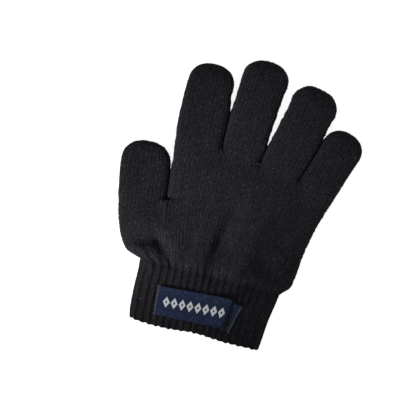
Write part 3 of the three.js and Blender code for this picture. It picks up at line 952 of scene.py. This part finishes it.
def bumped(material, level, strength, depth):
    """The normals of a relief of so many millimetres."""
    inputs = {"Height": level, "Strength": strength, "Distance": depth * MM}
    return add_node(material, "ShaderNodeBump", inputs).outputs[0]


def finish_material(material, inputs):
    shader = add_node(material, "ShaderNodeBsdfPrincipled", inputs)
    add_node(material, "ShaderNodeOutputMaterial", {"Surface": shader.outputs[0]})
    return material


def knit_material(name, yarn, fleck, painted_groove_shade, sheen):
    """Knitted yarn: matt fibres with paler flecks, and painted shade in the grooves between the wales and
    inside each stitch's V.
    """
    material = new_material(name)
    compute = arithmetic(material)
    _, wale, course = cloth_place(material, "stitches")
    course = compute("MULTIPLY", course, COURSE / STITCH_PITCH)

    # Each stitch is a V: two legs that climb from the middle of a wale to the grooves beside it
    aside = compute("ABSOLUTE", compute("SUBTRACT", wale, compute("ROUND", wale)))
    off = compute("MULTIPLY", aside, 2.0)
    climbed = compute("SUBTRACT", course, compute("MULTIPLY", off, 0.5))
    wave = compute("COSINE", compute("MULTIPLY", climbed, 2 * math.pi))
    leg = compute("SINE", compute("MULTIPLY", off, math.pi))
    stitch = compute("MULTIPLY", compute("MULTIPLY_ADD", wave, 0.38, 0.62), leg)

    # Flecks, clumps of fibres and single stitches each have a tone of their own
    fibres = noise(material, 0.9, 4.0, 0.7)
    clumps = noise(material, 6, 3.0, 0.6)
    half_wale = compute("FLOOR", compute("MULTIPLY", wale, 2.0))
    cell = add_node(material, "ShaderNodeCombineXYZ", {0: half_wale, 1: compute("ROUND", climbed)})
    draw = {"Vector": cell.outputs[0]}
    single = add_node(material, "ShaderNodeTexWhiteNoise", draw, noise_dimensions="2D").outputs[0]
    tone = compute("MULTIPLY_ADD", clumps, CLUMP_TONE, -0.04)
    tone = compute("MULTIPLY_ADD", single, STITCH_TONE, tone)
    tone = compute("MULTIPLY_ADD", compute("GREATER_THAN", single, BRIGHT_FROM), BRIGHT_TONE, tone)
    pale = compute("MULTIPLY_ADD", ramp(material, fibres, 0.48, 0.7), FLECK_TONE, tone)
    spun = blend(material, pale, linear(yarn), linear(fleck))
    # Painted shade: off the raised legs of the stitches, in the grooves between the wales and inside each
    # V, the yarn is blended towards the dark groove colour
    painted_shade_base = compute("MULTIPLY_ADD", compute("POWER", off, 3.0), 0.2, 0.76)
    painted_shade_share = compute("MULTIPLY_ADD", stitch, -1.1, painted_shade_base)

    relief = compute("MULTIPLY_ADD", fibres, 0.8, stitch)
    return finish_material(material, {
        "Base Color": blend(material, painted_shade_share, spun, linear(painted_groove_shade)),
        "Roughness": 0.95,
        "Specular IOR Level": 0.08,
        "Sheen Weight": sheen,
        "Sheen Roughness": 0.5,
        "Sheen Tint": linear("#8a8a92"),
        "Normal": bumped(material, relief, 0.7, 0.25),
    })


def tape_material(length, width):
    """Damask-woven polyester tape: navy with a satin weave, a row of pale woven lozenges, and
    pale slubs along both selvedges. Past its crest, where it turns down, it is drawn a darker grey:
    partly its duller reverse side, partly painted shade of the valley beyond the crest."""
    material = new_material("navy_damask_tape")
    compute = arithmetic(material)
    tape, run, across = cloth_place(material, "tape")

    along_run = compute("PINGPONG", compute("SUBTRACT", run, LOZENGE_MIDDLE), LOZENGE_PITCH / 2)
    aside = compute("ABSOLUTE", compute("SUBTRACT", across, width / 2))
    along_share = compute("DIVIDE", along_run, LOZENGE_HALF[0])
    lozenge = compute("ADD", along_share, compute("DIVIDE", aside, LOZENGE_HALF[1]))
    inside = compute("LESS_THAN", lozenge, 1.0)
    motif = compute("MULTIPLY", inside, compute("GREATER_THAN", lozenge, LOZENGE_OPEN))
    motif = compute("MULTIPLY", motif, compute("GREATER_THAN", run, LOZENGES_RUN[0]))
    motif = compute("MULTIPLY", motif, compute("LESS_THAN", run, LOZENGES_RUN[1]))

    edge = compute("MINIMUM", across, compute("SUBTRACT", width, across))
    loops = add_node(material, "ShaderNodeTexVoronoi", {"Vector": tape, "Scale": 0.9})
    slub = compute("LESS_THAN", loops.outputs[0], 0.2)
    slub = compute("MULTIPLY", slub, compute("LESS_THAN", edge, SELVEDGE))
    pale = compute("MAXIMUM", motif, compute("MULTIPLY", slub, 0.2))

    # The thread pitch of 0.25 mm is too fine to show, so it is drawn at about 1 mm
    weave = add_node(material, "ShaderNodeTexWave", {
        "Vector": tape, "Scale": 0.45, "Distortion": 0.6, "Detail": 1.0,
    }, bands_direction="DIAGONAL").outputs[1]
    thread = add_node(material, "ShaderNodeTexNoise", {"Vector": tape, "Scale": 2.2, "Detail": 3.0})
    ground = blend(material, weave, linear("#1c2439"), linear("#2a3554"))

    # The turned side shows as a wedge, wide at the lower selvedge and narrow at the upper one.
    #     It is drawn a darker grey: partly the tape's duller reverse side, partly painted shade in the
    #         valley past the crest.
    begun = compute("MULTIPLY_ADD", across, -TURN_SLANT, run)
    ended = compute("MULTIPLY_ADD", across, END_SLANT, run)
    turned_down = ramp(material, begun, LABEL_FACE, LABEL_FACE + TURN_FADE)
    turned = compute("SUBTRACT", turned_down, ramp(material, ended, length - END_FADE, length))
    # Painted shade: this darker grey stands partly for the shade past the crest, partly for the duller
    # reverse side
    ground = blend(material, compute("MAXIMUM", turned), ground, linear("#24272d"))

    picked = compute("MULTIPLY", pale, compute("MULTIPLY_ADD", thread.outputs[0], 0.6, 0.7))
    relief = compute("MULTIPLY_ADD", pale, 0.6, compute("MULTIPLY", weave, 0.5))
    return finish_material(material, {
        "Base Color": blend(material, picked, ground, linear("#d8dade")),
        "Roughness": 0.7,
        "Specular IOR Level": 0.1,
        "Normal": bumped(material, relief, 0.6, 0.2),
    })


def silicone_material():
    """Printed silicone: clear grey drops with a wet gloss."""
    material = new_material("printed_silicone")
    cloud = noise(material, 3, 2.0)
    return finish_material(material, {
        "Base Color": blend(material, cloud, linear("#4a4b4e"), linear("#85868a")),
        "Roughness": arithmetic(material)("MULTIPLY_ADD", cloud, 0.2, 0.12),
        "IOR": 1.41,
        "Coat Weight": 0.4,
        "Coat Roughness": 0.1,
    })


def thread_material(name, dark, pale):
    """Spun thread: fibres in two tones, and rough to the eye."""
    material = new_material(name)
    fibres = noise(material, 0.8, 2.0)
    return finish_material(material, {
        "Base Color": blend(material, fibres, linear(dark), linear(pale)),
        "Roughness": 0.85,
        "Specular IOR Level": 0.1,
        "Normal": bumped(material, fibres, 0.5, 0.1),
    })


def floor_material():
    """Opal acrylic of a light table: it glows a little, so shadows on it stay pale."""
    return finish_material(new_material("opal_light_table"), {
        "Base Color": linear("#f4f4f4"),
        "Roughness": 0.9,
        "Specular IOR Level": 0.1,
        "Emission Color": (1, 1, 1, 1),
        "Emission Strength": 0.85,
    })


# Studio
PHOTO_ROLL = 15  # the glove leans to the right by this much in the picture
PHOTO_CENTRE = np.array([-19.56, 90.05, 6.0])
PHOTO_WIDTH = 280
CAMERA_HEIGHT = 1100
SENSOR_WIDTH = 36
POOL_CENTRE = np.array([-18, 99, 12.0])  # where the key lamp's light is strongest
# Degrees, metres and watts
KEY_LAMP = {"azimuth": 233, "elevation": 25, "distance": 0.95, "pool": 0.092, "power": 76}
LAMP_BLEND = 0.65
LAMP_RADIUS = 0.05
WORLD_STRENGTH = 0.27
FLOOR_SIZE = 6


def make_camera():
    centre = (PHOTO_CENTRE - ORIGIN) * MM
    bpy.ops.object.camera_add(
        location=(centre[0], centre[1], CAMERA_HEIGHT * MM),
        rotation=(0, 0, math.radians(PHOTO_ROLL)),
    )
    camera = bpy.context.object
    camera.data.sensor_width = SENSOR_WIDTH
    camera.data.lens = SENSOR_WIDTH * (CAMERA_HEIGHT - PHOTO_CENTRE[2]) / PHOTO_WIDTH
    camera.data.clip_end = 20
    bpy.context.scene.camera = camera


def add_lamp(name, aim, azimuth, elevation, distance, pool, power):
    """A soft-edged lamp. Its beam is flattened, so that the pool of light it throws is round."""
    low, turn = math.radians(elevation), math.radians(azimuth)
    away = Vector((math.cos(turn) * math.cos(low), math.sin(turn) * math.cos(low), math.sin(low)))
    bpy.ops.object.light_add(type="SPOT", location=Vector(aim) + away * distance)
    light = bpy.context.object
    light.name = name
    lamp = light.data
    lamp.spot_size = 2 * math.atan(pool / distance)
    lamp.spot_blend = LAMP_BLEND
    lamp.shadow_soft_size = LAMP_RADIUS
    lamp.energy = power
    light.rotation_euler = (-away).to_track_quat("-Z", "Y").to_euler()
    light.scale = (1, math.sin(low), 1)


def make_studio():
    bpy.ops.mesh.primitive_plane_add(size=FLOOR_SIZE, location=(0, 0, 0))
    floor = bpy.context.object
    floor.name = "studio_floor"
    floor.data.materials.append(floor_material())
    add_lamp("key_lamp", (POOL_CENTRE - ORIGIN) * MM, **KEY_LAMP)
    world = bpy.data.worlds.new("studio")
    world.use_nodes = True
    background = world.node_tree.nodes["Background"]
    background.inputs[0].default_value = (1, 1, 1, 1)
    background.inputs[1].default_value = WORLD_STRENGTH
    bpy.context.scene.world = world
    bpy.context.scene.view_settings.view_transform = "Standard"


# The third colour of each knit is the painted shade in its grooves and stitches
jersey = knit_material("black_acrylic_jersey", "#1f1f22", "#505059", "#060607", 0.02)
rib = knit_material("black_elastic_rib", "#1f1f22", "#4e4e56", "#060607", 0.02)
hand_piece = make_hand(jersey)
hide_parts("hand")
cuff_piece = make_cuff(rib)
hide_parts("rib_cuff")
make_edge_thread(thread_material("black_elastic_thread", "#18181b", "#3c3c40"))
make_crotch_knots(thread_material("closing_stitch_yarn", "#1e1e21", "#48484e"), hand_piece)
make_label(tape_material(LABEL_RUN, LABEL_WIDTH))
make_label_threads(thread_material("pale_polyester_thread", "#3e4248", "#94989e"))
make_dots(silicone_material(), hand_piece)
make_camera()
make_studio()
